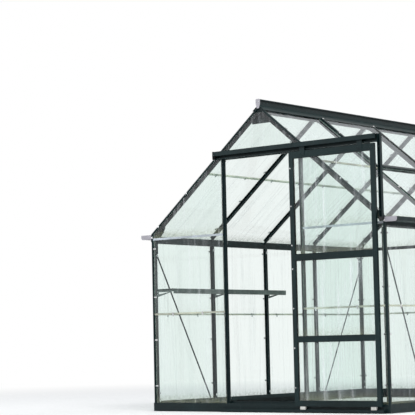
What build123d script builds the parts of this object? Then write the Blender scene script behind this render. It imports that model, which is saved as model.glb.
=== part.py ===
from build123d import *
import math
import os

os.makedirs("parts", exist_ok=True)

# All sizes are in millimetres. +Z is up, the door gable faces -Y, +X is to the right of the door.
# The origin is on the ground, in the middle of the whole outline.

# Plan
half_width = 940.0
bay = 620.0
bays_long = 4
door_post_x = 317.0

# Heights
sill_ledge = 52.0
pane_low = 610.0
pane_up = 508.0
pane_lap = 12.0
eaves_line = 1165.0
rafter_foot = 1196.0
rafter_apex = 1970.0
ridge_rise = 59.0

# Glazing and section sizes
glass = 3.0
pane_inset = 5.0
skin = 1.8
plane_out = 6.0
bar_wide = 24.0
bar_deep = 23.0
rib_tall = 8.0
nose = 12.0
leg = 19.0
sill_out = 10.0
roof_pane_up = 610.0
roof_glass_over = 12.0
roof_pane_top_gap = 25.0
nose_under = 4.0
rafter_tall = 30.0
fit_gap = 0.3

# Ridge, and plates that join the rafters to it and to the corner posts
ridge_over = 18.0
ridge_wing = 50.0
ridge_cap_thick = 3.0
ridge_cap_half = 17.0
gusset_thick = 2.0
gusset_reach = 90.0
apex_plate_half = 80.0

# Gutter, measured out from the side glazing plane and up from the eaves line
beam_low = -28.0
beam_high = 20.0
gutter_reach = 96.0
gutter_floor = 2.0
gutter_lip = 30.0
gutter_round = 16.0
gutter_over = 14.0
drip_lap = 10.0
cap_thick = 2.5
cap_edge = 1.5
spout_bore = 10.5
spout_long = 30.0
spout_in = 28.0

# Door and its track
track_drop = 30.75
track_tall = 50.0
track_out = 50.0
track_past = 32.5
track_short = 12.0
door_lap = 10.5
door_end_gap = 19.0
door_low = 40.0
door_clear = 6.0
door_deep = 20.0
door_mid_out = 27.0
stile_wide = 32.0
top_rail = 43.0
mid_rail = 41.0
mid_rail_z = 978.5
low_rail = 36.0
low_rail_z = 461.0
bottom_rail = 35.0
wheel_radius = 11.0
wheel_spacing = 220.0
hanger_wide = 40.0
shoe_long = 40.0
shoe_in = 60.0
seat_gap = 0.3
head_bar_drop = 15.0
support_wide = 22.0

# Shelf
shelf_z = 815.0
shelf_thick = 10.0
shelf_deep = 145.0
shelf_slats = 4
shelf_lip = 22.0
bracket_tall = 42.0

# Vent in the second bay of the right slope
vent_low_s = 612.0
vent_top_s = 52.0
vent_deep = 11.0
vent_rail = 20.0
stay_long = 240.0
stay_wide = 12.0

# Wind braces, one strip at each corner of the long walls
brace_long = 1150.0
brace_foot_left = 555.0
brace_foot_right = 440.0

# Spare length that a mitre or slope cut takes off
spare = 100.0

# Derived sizes
half_length = bay * bays_long / 2
front_reach = plane_out + track_out
back_reach = ridge_over + ridge_cap_thick
shift = (front_reach - back_reach) / 2
y_front = -half_length + shift
y_back = half_length + shift
side_plane = half_width + plane_out
front_plane = y_front - plane_out
back_plane = y_back + plane_out
pitch = math.atan((rafter_apex - rafter_foot) / half_width)
sin_p = math.sin(pitch)
cos_p = math.cos(pitch)
tan_p = math.tan(pitch)
roof_apex = rafter_apex + plane_out / cos_p
ridge_top = rafter_apex + ridge_rise
slope_run = (half_width + spare) / cos_p
roof_pane_low = (side_plane + roof_glass_over) / cos_p - (roof_pane_top_gap + roof_pane_up - pane_lap)
wing_top = rib_tall + 3
nose_out = nose + 2 - plane_out
post_inner = half_width + 2 - leg
low_top = sill_ledge + pane_low
up_foot = low_top - pane_lap
wall_top = up_foot + pane_up
beam_foot = eaves_line + beam_low
corner_room = leg - 2 + gusset_thick + 1
drip_out = nose_out + 2 * fit_gap
track_mid = roof_apex - door_post_x * tan_p - track_drop
head_bar_z = track_mid - head_bar_drop
door_wide = 2 * (door_post_x + door_lap)
track_left = -(door_wide / 2 + track_past)
track_right = half_width - track_short
door_open_x = track_right - door_end_gap - door_wide / 2
mid_mirror = Plane(origin=(0, shift, 0), z_dir=(0, 1, 0))


def roof_z(x, inward=0.0):
    """Height of the roof glazing plane over x, or of a line that far below it."""
    return roof_apex - abs(x) * tan_p - inward / cos_p


def slope_point(s, out, y):
    """Point on the right slope, s down from the apex and out from the glazing plane."""
    return (s * cos_p + out * sin_p, y, roof_apex - s * sin_p + out * cos_p)


def block(x0, x1, y0, y1):
    """A rectangle of a section between two corners."""
    return Pos((x0 + x1) / 2, (y0 + y1) / 2) * Rectangle(x1 - x0, y1 - y0)


def run_section(section, start, end, out):
    """Extrude a section from start to end. The section's y axis points out."""
    along = Vector(*end) - Vector(*start)
    z = along.normalized()
    o = Vector(*out)
    y = (o - z * o.dot(z)).normalized()
    place = Plane(origin=start, x_dir=y.cross(z), z_dir=z)
    return extrude(place * section, amount=along.length)


def cut_beyond(body, point, normal):
    """Keep what lies behind the plane, away from its normal."""
    return split(body, bisect_by=Plane(origin=point, z_dir=normal), keep=Keep.BOTTOM)


def on_all_corners(body):
    """The same piece at the four corners."""
    left = mirror(body, Plane.YZ)
    return [body, left, mirror(body, mid_mirror), mirror(left, mid_mirror)]


# Sections

def glazing_bar_section():
    """T bar: flange under the glass, rib between the panes, bolt channel inside."""
    flange = block(-bar_wide / 2, bar_wide / 2, -skin, 0)
    web = block(-1, 1, -bar_deep + 4, rib_tall - 2)
    bulb = fillet(block(-2.6, 2.6, rib_tall - 4, rib_tall).vertices().group_by(Axis.Y)[-1], 1.8)
    channel = block(-6.5, 6.5, -bar_deep, -bar_deep + 9)
    hollow = block(-4.8, 4.8, -bar_deep + 1.6, -bar_deep + 7.4)
    mouth = block(-3, 3, -bar_deep, -bar_deep + 3)
    return flange + (web - hollow) + bulb + (channel - hollow - mouth)


def corner_nose_section():
    """Rounded hollow nose of the corner post. x and y are out from the post lines."""
    near = nose + 2
    tube = fillet(block(2, near, 2, near).vertices().group_by(Axis.X)[-1].sort_by(Axis.Y)[-1], 5)
    return tube - block(2 + skin, near - skin - 1, 2 + skin, near - skin - 1)


def corner_box_section():
    """Box behind the nose, open at its inner corner."""
    inner = 2 - leg
    box = block(inner, plane_out, inner, plane_out)
    hollow = block(inner + skin, plane_out - skin, inner + skin, plane_out - skin)
    mouth = block(inner, inner + 8, inner, inner + 8)
    return box - hollow - mouth


def rafter_nose_section():
    """Hollow nose of the gable rafter. x is out from the post line, y is out of the roof."""
    tube = block(2, nose + 2, -nose_under, rib_tall)
    tube = fillet(tube.vertices().group_by(Axis.X)[-1].sort_by(Axis.Y)[-1], 4)
    return tube - block(2 + skin, nose + 2 - skin, -nose_under + skin, rib_tall - skin)


def rafter_leg_section():
    """Legs of the gable rafter, under the roof glass and behind the gable glass."""
    roof_leg = block(2 - leg, 2, -skin, 0)
    gable_leg = block(plane_out - skin, plane_out, -rafter_tall, -nose_under)
    foot = block(plane_out - 9, plane_out - skin, -rafter_tall, -rafter_tall + skin)
    lip = block(2 - leg, 2 - leg + skin, -9, -skin)
    return roof_leg + gable_leg + foot + lip


def sill_section():
    """Base sill. x is up, y is out from the glazing plane."""
    inner = -bar_deep - 2
    web = block(0, sill_ledge, sill_out - 2, sill_out)
    foot = block(0, 2, inner, sill_out)
    toe = block(0, 8, inner, inner + 2)
    ledge = block(sill_ledge - 2, sill_ledge, inner, sill_out)
    upstand = block(sill_ledge - 10, sill_ledge + 16, inner, inner + 2)
    lip = block(sill_ledge, sill_ledge + 4, sill_out - 1.8, sill_out)
    return web + foot + toe + ledge + upstand + lip


def eaves_section():
    """Eaves beam and gutter in one. x is up from the eaves line, y is out."""
    web = block(beam_low, beam_high, -2, 0)
    under = block(beam_low, beam_low + 2, -bar_deep, 0)
    back = block(beam_low, beam_low + 9, -bar_deep, -bar_deep + 2)
    trough = block(gutter_floor, gutter_lip, 0, gutter_reach)
    trough = fillet(trough.vertices().group_by(Axis.X)[0].sort_by(Axis.Y)[-1], gutter_round)
    inside = block(gutter_floor + 2, gutter_lip, 0, gutter_reach - 2)
    inside = fillet(inside.vertices().group_by(Axis.X)[0].sort_by(Axis.Y)[-1], gutter_round - 2)
    bead = Pos(gutter_lip - 2, gutter_reach - 3) * Circle(3)
    drip = block(wall_top - drip_lap - eaves_line, gutter_floor + 1, drip_out, drip_out + 1.6)
    return web + under + back + (trough - inside) + bead + drip


def on_slope_section(shape):
    """A section drawn along the right slope from the apex, moved to the ridge's upright frame."""
    return Pos(0, roof_apex) * Rot(0, 0, -math.degrees(pitch)) * shape


def ridge_section():
    """Ridge seen along +Y. x is right, y is up from the ground."""
    web = block(-1.5, 1.5, roof_apex - 3, ridge_top - 3)
    top = fillet(block(-12, 12, ridge_top - 8, ridge_top).vertices().group_by(Axis.Y)[-1], 4)
    top = top - block(-10, -3.5, ridge_top - 8, ridge_top - 3) - block(3.5, 10, ridge_top - 8, ridge_top - 3)
    wing = block(-9, ridge_wing, wing_top - 2, wing_top)
    wing = on_slope_section(wing + block(ridge_wing - 2, ridge_wing, rib_tall, wing_top))
    wing = wing & block(0, 2 * ridge_wing, roof_apex - 2 * ridge_wing, ridge_top)
    return web + top + wing + mirror(wing, Plane.YZ)


def ridge_inner_section():
    """The ridge's inner web and the two flanges that the roof bars are bolted to."""
    low = roof_apex - (bar_deep + 3) / cos_p
    web = block(-1.5, 1.5, low, roof_apex)
    flange = on_slope_section(block(-20, 34, -bar_deep - 2 - fit_gap, -bar_deep - fit_gap))
    flange = flange & block(0, spare, low - spare, ridge_top)
    return web + flange + mirror(flange, Plane.YZ)


def track_section():
    """Door header track. x is up from its middle, y is out from the glazing plane."""
    half = track_tall / 2
    back = block(-half, half, rib_tall, rib_tall + 2)
    top = block(half - 2, half, rib_tall, track_out)
    top = fillet(top.vertices().group_by(Axis.X)[-1].sort_by(Axis.Y)[-1], 1.5)
    front = block(-4, half, track_out - 2, track_out)
    hook = block(-4, -2.4, track_out - 6, track_out)
    ledge = block(-half, -half + 2, rib_tall, door_mid_out + 1)
    rail = block(-half, -half + 8, door_mid_out - 1, door_mid_out + 1)
    rib = block(4, 5.6, track_out - 1, track_out)
    return back + top + front + hook + ledge + rail + rib


def guide_section():
    """Bottom guide for the door. x is up from the ground, y is out."""
    far = sill_out + 34
    back = block(4, 30, sill_out, sill_out + 2)
    floor = block(4, 6, sill_out, far)
    lip = block(4, 20, far - 2, far)
    fin = block(4, 24, door_mid_out - 1, door_mid_out + 1)
    return back + floor + lip + fin


# Panes

def pane(x_mid, width, y_low, y_high, lean):
    """Upright pane in a local frame: x across, y up, z out. It leans out by lean at its foot."""
    side = Polyline((lean, y_low), (lean + glass, y_low), (glass, y_high), (0, y_high), close=True)
    place = Plane(origin=(x_mid + width / 2, 0, 0), x_dir=(0, 0, 1), z_dir=(-1, 0, 0))
    return extrude(place * make_face(side), amount=width)


def pane_pair(x_mid, width, foot, low, up):
    """Two lapped panes, the upper one outside the lower one."""
    top = foot + low
    up_low = top - pane_lap
    lean = (glass + 0.02) * up / (up - pane_lap)
    return [pane(x_mid, width, foot, top, 0), pane(x_mid, width, up_low, up_low + up, lean)]


def wall_place(out, plane_at):
    """Frame of a wall: x along it with up as y and out as z."""
    up = Vector(0, 0, 1)
    o = Vector(*out)
    return Plane(origin=plane_at, x_dir=up.cross(o), z_dir=o)


def place_all(place, solids):
    return [place.location * s for s in solids]


def gable_pane(points):
    """Pane cut to a polygon of the gable, in the wall frame."""
    return extrude(make_face(Polyline(*points, close=True)), amount=glass)


def side_glass(sign):
    """All panes of one long wall."""
    place = wall_place((sign, 0, 0), (sign * side_plane, shift, 0))
    solids = []
    for i in range(bays_long):
        mid = -half_length + bay * (i + 0.5)
        solids += pane_pair(mid, bay - 2 * pane_inset, sill_ledge, pane_low, pane_up)
    return place_all(place, solids)


def roof_glass(sign, skip=None):
    """All panes of one slope. The vent stands in for the upper pane of bay skip."""
    lows = []
    ups = []
    foot_s = roof_pane_top_gap + roof_pane_up - pane_lap + roof_pane_low
    foot = slope_point(foot_s, 0, 0)
    out = Vector(sign * sin_p, 0, cos_p)
    up = Vector(-sign * cos_p, 0, sin_p)
    place = Plane(origin=(sign * foot[0], shift, foot[2]), x_dir=up.cross(out), z_dir=out)
    for i in range(bays_long):
        mid = -half_length + bay * (i + 0.5)
        along = mid if sign > 0 else -mid
        low, high = pane_pair(along, bay - 2 * pane_inset, 0, roof_pane_low, roof_pane_up)
        lows.append(place.location * low)
        if i != skip:
            ups.append(place.location * high)
    return lows, ups


def top_pane_height(x):
    """Upper edge of the gable glass under the rafter's nose."""
    return roof_z(x, 4.5)


def gable_panes(front):
    """Panes of one gable: lapped pairs below the eaves, cut panes above."""
    if front:
        place = wall_place((0, -1, 0), (0, front_plane, 0))
        shut = [(-half_width, -door_post_x), (door_post_x, half_width)]
    else:
        place = wall_place((0, 1, 0), (0, back_plane, 0))
        shut = [(-half_width, -door_post_x), (-door_post_x, door_post_x), (door_post_x, half_width)]
    low = []
    top = []
    foot = eaves_line + 1
    inner = door_post_x - pane_inset
    for x0, x1 in shut:
        low += pane_pair((x0 + x1) / 2, x1 - x0 - 2 * pane_inset, sill_ledge, pane_low, pane_up)
        if x0 * x1 > 0 and abs(x0 + x1) > door_post_x:
            a = x0 + pane_inset
            b = x1 - pane_inset
            top.append(gable_pane([(a, foot), (b, foot), (b, top_pane_height(b)), (a, top_pane_height(a))]))
    head = head_bar_z + 14
    flat = roof_apex - 36
    flat_x = (top_pane_height(0) - flat) / tan_p
    if not front:
        low.append(pane(0, 2 * inner, foot, head, 0))
        head = head - pane_lap
    points = [(-inner, head), (inner, head), (inner, top_pane_height(inner)), (flat_x, flat),
              (-flat_x, flat), (-inner, top_pane_height(inner))]
    top_pane = gable_pane(points)
    if not front:
        top_pane = Pos(0, 0, glass + 0.02) * top_pane
    top.append(top_pane)
    return place_all(place, low), place_all(place, top)


# Frame pieces

def sill_side(sign):
    run = (half_length + spare) * sign
    body = run_section(sill_section(), (sign * side_plane, shift - run, 0),
                       (sign * side_plane, shift + run, 0), (sign, 0, 0))
    body = cut_beyond(body, (sign * side_plane, front_plane, 0), (-sign, -1, 0))
    return cut_beyond(body, (sign * side_plane, back_plane, 0), (-sign, 1, 0))


def sill_end(front):
    sign = -1 if front else 1
    y = front_plane if front else back_plane
    run = (half_width + spare) * sign
    body = run_section(sill_section(), (run, y, 0), (-run, y, 0), (0, sign, 0))
    body = cut_beyond(body, (side_plane, y, 0), (1, -sign, 0))
    return cut_beyond(body, (-side_plane, y, 0), (-1, -sign, 0))


def corner_post():
    """Front right post: its box ends under the eaves beam, its nose runs on up to the rafter."""
    place = Plane(origin=(half_width, y_front, sill_ledge), x_dir=(1, 0, 0), z_dir=(0, 0, -1))
    box = extrude(place * corner_box_section(), amount=-(beam_foot - sill_ledge))
    tube = extrude(place * corner_nose_section(), amount=-(rafter_foot + spare - sill_ledge))
    tube = cut_beyond(tube, (side_plane, y_front, roof_z(side_plane, nose_under)), (sin_p, 0, cos_p))
    return box + tube


def side_bar(sign, index):
    y = y_front + bay * index
    return run_section(glazing_bar_section(), (sign * side_plane, y, sill_ledge),
                       (sign * side_plane, y, beam_foot), (sign, 0, 0))


def gable_bar(x, front):
    """Upright bar of a gable, cut to the underside of the rafter."""
    sign = -1 if front else 1
    y = front_plane if front else back_plane
    body = run_section(glazing_bar_section(), (x, y, sill_ledge), (x, y, roof_apex), (0, sign, 0))
    side = 1 if x > 0 else -1
    return cut_beyond(body, (x, y, roof_z(x, rafter_tall)), (side * sin_p, 0, cos_p))


def end_cutter(sign, end, out_low, out_high, room):
    """Box that takes a gutter beam away at one end, from room past the post line outward."""
    high = 4 * gutter_reach
    cutter = Box(out_high - out_low, spare, high)
    x = sign * (side_plane + (out_low + out_high) / 2)
    return Pos(x, shift + end * (half_length + room + spare / 2), eaves_line) * cutter


def eaves_beam(sign):
    """Eaves beam: inner lip cut back at the gables, trough notched round the corner posts."""
    ends = half_length + gutter_over
    body = run_section(eaves_section(), (sign * side_plane, shift - sign * ends, eaves_line),
                       (sign * side_plane, shift + sign * ends, eaves_line), (sign, 0, 0))
    for end in (-1, 1):
        body = body - end_cutter(sign, end, -2 * bar_deep, -2, -corner_room)
        body = body - end_cutter(sign, end, -3, nose_out + fit_gap, 2 - 2 * fit_gap)
    drain = Pos(*spout_place(sign, y_back + gutter_over - spout_in)) * Cylinder(spout_bore, 12)
    return body - drain


def spout_place(sign, y):
    return (sign * (side_plane + gutter_reach / 2), y, eaves_line + gutter_floor)


def gutter_cap():
    """Front right end cap: the gutter's outline with a rounded lower corner."""
    shape = block(gutter_floor - cap_edge, gutter_lip + cap_edge, nose_out + fit_gap, gutter_reach + 1)
    shape = fillet(shape.vertices().group_by(Axis.X)[0].sort_by(Axis.Y)[-1], gutter_round)
    y = y_front - gutter_over
    return run_section(shape, (side_plane, y - cap_thick, eaves_line), (side_plane, y, eaves_line), (1, 0, 0))


def rain_spout():
    """Spout under the right gutter's floor, near its back end."""
    x, y, z = spout_place(1, y_back + gutter_over - spout_in)
    wide = 2 * spout_bore + 14
    flange = Pos(x, y, z - cap_edge / 2) * Box(wide, wide, cap_edge)
    tube = Pos(x, y, z - spout_long / 2) * Cylinder(spout_bore + 2, spout_long)
    bore = Pos(x, y, z - spout_long / 2) * Cylinder(spout_bore, 2 * spout_long)
    return flange + tube - bore


def front_rafter():
    """Right-hand rafter of the front gable. Its nose runs out over the corner post."""
    foot = slope_point(slope_run, 0, y_front)
    apex = slope_point(-spare, 0, y_front)
    tube = run_section(rafter_nose_section(), foot, apex, (sin_p, 0, cos_p))
    tube = cut_beyond(tube, (half_width + nose + 2, 0, 0), (1, 0, 0))
    legs = run_section(rafter_leg_section(), foot, apex, (sin_p, 0, cos_p))
    legs = cut_beyond(legs, (half_width + 2 - fit_gap, 0, 0), (1, 0, 0))
    return cut_beyond(tube + legs, (1.5, 0, 0), (-1, 0, 0))


def gable_plate(points):
    """Flat plate on the inner faces of the front gable's frame."""
    place = Plane(origin=(0, y_front + leg - 2, 0), x_dir=(1, 0, 0), z_dir=(0, -1, 0))
    return extrude(place * make_face(Polyline(*points, close=True)), amount=-gusset_thick)


def eaves_gusset():
    """Plate that ties the front right corner post to the rafter."""
    x1 = half_width + 2
    x0 = x1 - gusset_reach
    low = beam_foot - 0.8 * gusset_reach
    return gable_plate([(x1, low), (x1, roof_z(x1, 3)), (x0, roof_z(x0, 3)), (x0, roof_z(x0, rafter_tall)),
                        (post_inner, beam_foot), (post_inner, low)])


def apex_gusset():
    """House-shaped plate that ties the two front rafters under the ridge."""
    half = apex_plate_half
    return gable_plate([(-half, roof_z(half, rafter_tall)), (half, roof_z(half, rafter_tall)),
                        (half, roof_z(half, 3)), (0, roof_z(0, 3)), (-half, roof_z(half, 3))])


def roof_bar(sign, index):
    y = y_front + bay * index
    foot = slope_point(slope_run, 0, y)
    apex = slope_point(-spare, 0, y)
    body = run_section(glazing_bar_section(), foot, apex, (sin_p, 0, cos_p))
    body = cut_beyond(body, (side_plane - 2, 0, 0), (1, 0, 0))
    body = cut_beyond(body, (1.5, 0, 0), (-1, 0, 0))
    if sign < 0:
        body = mirror(body, Plane.YZ)
    return body


def ridge_bar():
    """Ridge: cap and wings full length, inner flanges between the gables."""
    place = Plane(origin=(0, y_front - ridge_over, 0), x_dir=(1, 0, 0), z_dir=(0, -1, 0))
    body = extrude(place * ridge_section(), amount=-(2 * half_length + 2 * ridge_over))
    inner = Plane(origin=(0, y_front + corner_room, 0), x_dir=(1, 0, 0), z_dir=(0, -1, 0))
    return body + extrude(inner * ridge_inner_section(), amount=-2 * (half_length - corner_room))


def ridge_cap():
    """Front ridge end cap: a plate over the end of the ridge."""
    top = ridge_top + 1
    low = rafter_apex - 2
    half = ridge_cap_half
    shoulder = low + 28
    shape = make_face(Polyline((-half, shoulder), (-half / 2, low), (half / 2, low), (half, shoulder),
                               (half, top), (-half, top), close=True))
    shape = fillet(shape.vertices().group_by(Axis.Y)[-1], 7)
    place = Plane(origin=(0, y_front - ridge_over, 0), x_dir=(1, 0, 0), z_dir=(0, -1, 0))
    return extrude(place * shape, amount=ridge_cap_thick)


def glazing_strip(x0, x1):
    """Milky H strip between the upper wall pane and the cut pane of the front gable, over the corner post."""
    cover = block(-7, 7, glass + 0.1, glass + 1.7) + block(-1, 1, 0, glass + 1.7)
    inner = block(-7, 7, -1.5, -0.1) + block(-1, 1, -1.5, 0)
    out = (0, -1, 0)
    strip = run_section(inner, (x0, front_plane, eaves_line), (x1, front_plane, eaves_line), out)
    nose_side = half_width + 2 - fit_gap
    if x1 > 0:
        x1 = nose_side
    else:
        x0 = -nose_side
    return strip + run_section(cover, (x0, front_plane, eaves_line), (x1, front_plane, eaves_line), out)


def brace(foot_back):
    """Flat wind brace of the front right corner, from the sill's upstand up to the corner post."""
    x = side_plane - bar_deep - 0.1
    foot_z = sill_ledge + 5
    head_z = foot_z + math.sqrt(brace_long ** 2 - foot_back ** 2)
    start = (x - 2, y_front + foot_back, foot_z)
    return run_section(block(-6, 6, -2, 0), start, (x, y_front + 1, head_z), (1, 0, 0))


def back_cross_bar(x0, x1):
    """Bar at eaves level of the back gable, between two uprights."""
    section = block(-12, 12, -skin, 0) + block(-1, 1, -16, 0) + block(-5, 5, -17.8, -16)
    z = eaves_line + 1.2
    return run_section(section, (x1, back_plane, z), (x0, back_plane, z), (0, 1, 0))


def door_head():
    """Bar between the door posts that carries the pane over the door."""
    section = block(-14, 14, -skin, 0) + block(-14, -14 + skin, -bar_deep, 0)
    section = section + block(-14, -6, -bar_deep, -bar_deep + skin)
    section = section + block(12.4, 14, 0, 6)
    reach = door_post_x - bar_wide / 2
    start = (-reach, front_plane, head_bar_z)
    return run_section(section, start, (reach, front_plane, head_bar_z), (0, -1, 0))


def header_track():
    return run_section(track_section(), (track_left, front_plane, track_mid),
                       (track_right, front_plane, track_mid), (0, -1, 0))


def bottom_guide():
    start = (track_left, front_plane, 0)
    return run_section(guide_section(), start, (track_right, front_plane, 0), (0, -1, 0))


def header_support():
    """Upright from the end of the right rafter to the free end of the header track."""
    foot = eaves_line + gutter_lip + cap_edge + fit_gap
    head = track_mid + track_tall / 2
    section = block(0, support_wide, 0, support_wide) - block(2, support_wide - 2, 2, support_wide)
    place = Plane(origin=(track_right, front_plane - rib_tall, foot), x_dir=(1, 0, 0), z_dir=(0, 0, -1))
    return extrude(place * section, amount=-(head - foot))


# Vent

def vent_frame(y_mid):
    """Vent frame lying over the bars of its bay, four rails in one piece, and its pane."""
    low_s = vent_low_s + bar_wide / 2 + 2
    wide = bay + bar_wide / 2
    place = Plane(origin=slope_point((vent_top_s + low_s) / 2, rib_tall, y_mid), x_dir=(0, 1, 0),
                  z_dir=(sin_p, 0, cos_p))
    long = low_s - vent_top_s
    outer = fillet(extrude(Rectangle(wide, long), amount=vent_deep).edges().filter_by(Axis.Z), 3)
    inside = Rectangle(wide - 2 * vent_rail, long - 2 * vent_rail)
    hole = Pos(0, 0, -1) * extrude(inside, amount=2 * vent_deep)
    groove = Pos(0, 0, 4) * extrude(Rectangle(wide - 24, long - 24), amount=glass + 0.2)
    leaf_low = wing_top - rib_tall + fit_gap
    leaf = Pos(0, long / 2 + 2, leaf_low + 0.8) * Box(bay - bar_wide, 12, 1.6)
    frame = outer - hole - groove + leaf
    pane_solid = Pos(0, 0, 4.1) * extrude(Rectangle(wide - 26, long - 26), amount=glass)
    return place.location * frame, place.location * pane_solid


def vent_sill(y_mid):
    """Bar across the bay under the vent's lower rail, with two pegs for the stay."""
    reach = bay / 2 - bar_wide / 2
    section = block(-12, 12, -skin, 0) + block(-12, -12 + skin, -14, 0) + block(12 - skin, 12, 0, 6)
    start = slope_point(vent_low_s, 0, y_mid - reach)
    end = slope_point(vent_low_s, 0, y_mid + reach)
    body = run_section(section, start, end, (sin_p, 0, cos_p))
    for y in stay_pegs(y_mid):
        place = Plane(origin=slope_point(vent_low_s - 12, 3, y), x_dir=(0, 1, 0), z_dir=(-cos_p, 0, sin_p))
        body = body + extrude(place * Circle(2.2), amount=7)
    return body


def stay_pegs(y_mid):
    return [y_mid + share * stay_long for share in (0.3, 0.8)]


def vent_stay(y_mid):
    """Casement stay: a bar with a row of holes over the pegs, and the bracket on the vent's lower rail."""
    start = slope_point(vent_low_s - 12 - 3, 3, y_mid)
    place = Plane(origin=start, x_dir=(0, 1, 0), z_dir=(-cos_p, 0, sin_p))
    bar = Pos(stay_long / 2, 0) * SlotOverall(stay_long + stay_wide, stay_wide)
    for y in stay_pegs(0) + [0.55 * stay_long]:
        bar = bar - Pos(y, 0) * Circle(2.5)
    plate = Pos(0, 0, 2) * extrude(Circle(stay_wide / 2), amount=2)
    rail_side = vent_low_s + bar_wide / 2 + 2 - vent_rail
    arm_long = rail_side - (vent_low_s - 12 - 3 - 4)
    arm = Pos(0, -(rib_tall - 3 + 1.5), 4 - arm_long / 2) * Box(10, 2, arm_long)
    neck = Pos(0, -(rib_tall - 3) / 2 - 1, 3) * Box(10, rib_tall - 3 + 1, 2)
    return place.location * (extrude(bar, amount=2) + plate + arm + neck)


# Shelf

def shelf_slat_set():
    """Long channel slats with the open side down. The front one has a deep lip."""
    x_wall = -(side_plane - bar_deep) + 4.0
    gap = 6.0
    wide = (shelf_deep - gap * (shelf_slats - 1)) / shelf_slats
    solids = []
    for i in range(shelf_slats):
        x0 = x_wall + i * (wide + gap)
        section = block(0, wide, 0, shelf_thick) - block(1.5, wide - 1.5, 0, shelf_thick - 1.5)
        if i == shelf_slats - 1:
            section = section + block(wide - 1.5, wide, -shelf_lip, 0)
            section = section + block(wide - 6, wide, -shelf_lip - 1.5, -shelf_lip)
        place = Plane(origin=(x0, y_front + 1, shelf_z), x_dir=(1, 0, 0), z_dir=(0, -1, 0))
        solids.append(extrude(place * section, amount=-(2 * bay + 24)))
    return solids


def shelf_bracket(y):
    """Bent arm under the slats, fixed to a wall bar."""
    x_wall = -(side_plane - bar_deep)
    reach = shelf_deep + 2
    low = -bracket_tall
    arm = make_face(Polyline((0, 0), (reach, 0), (reach, -8), (16, low), (0, low), close=True))
    hole = make_face(Polyline((16, -12), (reach - 32, -12), (20, low + 16), (16, low + 16), close=True))
    place = Plane(origin=(x_wall, y + 1, shelf_z), x_dir=(1, 0, 0), z_dir=(0, -1, 0))
    return extrude(place * (arm - hole), amount=2)


# Door

def stile(sign):
    """Door stile with a glazing groove on its inner side."""
    section = block(-stile_wide / 2, stile_wide / 2, -door_deep / 2, door_deep / 2)
    section = fillet(section.vertices(), 1.5)
    section = section - block(-stile_wide / 2 + 2, stile_wide / 2 - 10, -door_deep / 2 + 2, door_deep / 2 - 2)
    section = section - block(stile_wide / 2 - 8, stile_wide / 2, -glass / 2 - 0.1, glass / 2 + 0.1)
    x = door_open_x + sign * (door_wide - stile_wide) / 2
    y = front_plane - door_mid_out
    z0 = door_low
    z1 = track_mid - track_tall / 2 - door_clear
    return run_section(section, (x, y, z0), (x, y, z1), (0, -sign, 0))


def rail(z, tall, below, above):
    """Door rail, ribbed on its face, with glazing grooves where panes enter."""
    depth = door_deep - 2
    section = block(-tall / 2, tall / 2, -depth / 2, depth / 2)
    section = section - block(-tall / 2 + 10, tall / 2 - 10, -depth / 2 + 2, depth / 2 - 2)
    if above:
        section = section - block(tall / 2 - 8, tall / 2, -glass / 2 - 0.1, glass / 2 + 0.1)
    if below:
        section = section - block(-tall / 2, -tall / 2 + 8, -glass / 2 - 0.1, glass / 2 + 0.1)
    for step in (-0.3, 0.0, 0.3):
        section = section - block(step * tall - 1.5, step * tall + 1.5, depth / 2 - 1, depth / 2)
    reach = door_wide / 2 - stile_wide
    y = front_plane - door_mid_out
    return run_section(section, (door_open_x - reach, y, z), (door_open_x + reach, y, z), (0, -1, 0))


def door_rails():
    z_top = track_mid - track_tall / 2 - door_clear
    return [rail(z_top - top_rail / 2, top_rail, True, False),
            rail(mid_rail_z, mid_rail, True, True),
            rail(low_rail_z, low_rail, True, True),
            rail(door_low + bottom_rail / 2, bottom_rail, False, True)]


def door_panes():
    """Three panes held 7 mm deep in the grooves."""
    hold = 7.5
    z_top = track_mid - track_tall / 2 - door_clear - top_rail
    spans = [(mid_rail_z + mid_rail / 2, z_top),
             (low_rail_z + low_rail / 2, mid_rail_z - mid_rail / 2),
             (door_low + bottom_rail, low_rail_z - low_rail / 2)]
    wide = door_wide - 2 * stile_wide + 2 * hold
    solids = []
    for z0, z1 in spans:
        tall = z1 - z0 + 2 * hold
        solids.append(Pos(door_open_x, front_plane - door_mid_out, (z0 + z1) / 2) * Box(wide, glass, tall))
    return solids


def hanger(sign):
    """Hanger plate on the top rail, up behind the track's front lip."""
    z_low = track_mid - track_tall / 2 - door_clear - 30
    z_high = track_mid + 6
    y = front_plane - door_mid_out - door_deep / 2
    x = door_open_x + sign * wheel_spacing
    plate = Pos(x, y, (z_low + z_high) / 2) * Box(hanger_wide, 2, z_high - z_low)
    plate = fillet(plate.edges().filter_by(Axis.Y), 5)
    return plate


def wheel(sign):
    """Grooved wheel running on the track's rail, with its axle to the hanger."""
    x = door_open_x + sign * wheel_spacing
    y = front_plane - door_mid_out
    rail_top = track_mid - track_tall / 2 + 8
    groove = 2.0
    z = rail_top + seat_gap + wheel_radius - groove
    half = 3.5
    rim = make_face(Polyline((0, -half), (wheel_radius, -half), (wheel_radius, -half + 1),
                             (wheel_radius - groove, -1.4), (wheel_radius - groove, 1.4),
                             (wheel_radius, half - 1), (wheel_radius, half), (0, half), close=True))
    body = revolve(rim, Axis.Y)
    reach = door_deep / 2 - 1
    side = Plane(origin=(0, -half, 0), x_dir=(1, 0, 0), z_dir=(0, -1, 0))
    axle = extrude(side * Circle(3), amount=reach - half)
    return Pos(x, y, z) * (body + axle)


def guide_shoe(sign):
    """Nylon shoe astride the guide's fin."""
    x = door_open_x + sign * (door_wide / 2 - shoe_in)
    y = front_plane - door_mid_out
    block_solid = Pos(x, y, (door_low + 12) / 2) * Box(shoe_long, 14, door_low - 12)
    slot = Pos(x, y, 18) * Box(2 * shoe_long, 6, 20)
    return block_solid - slot


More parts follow.
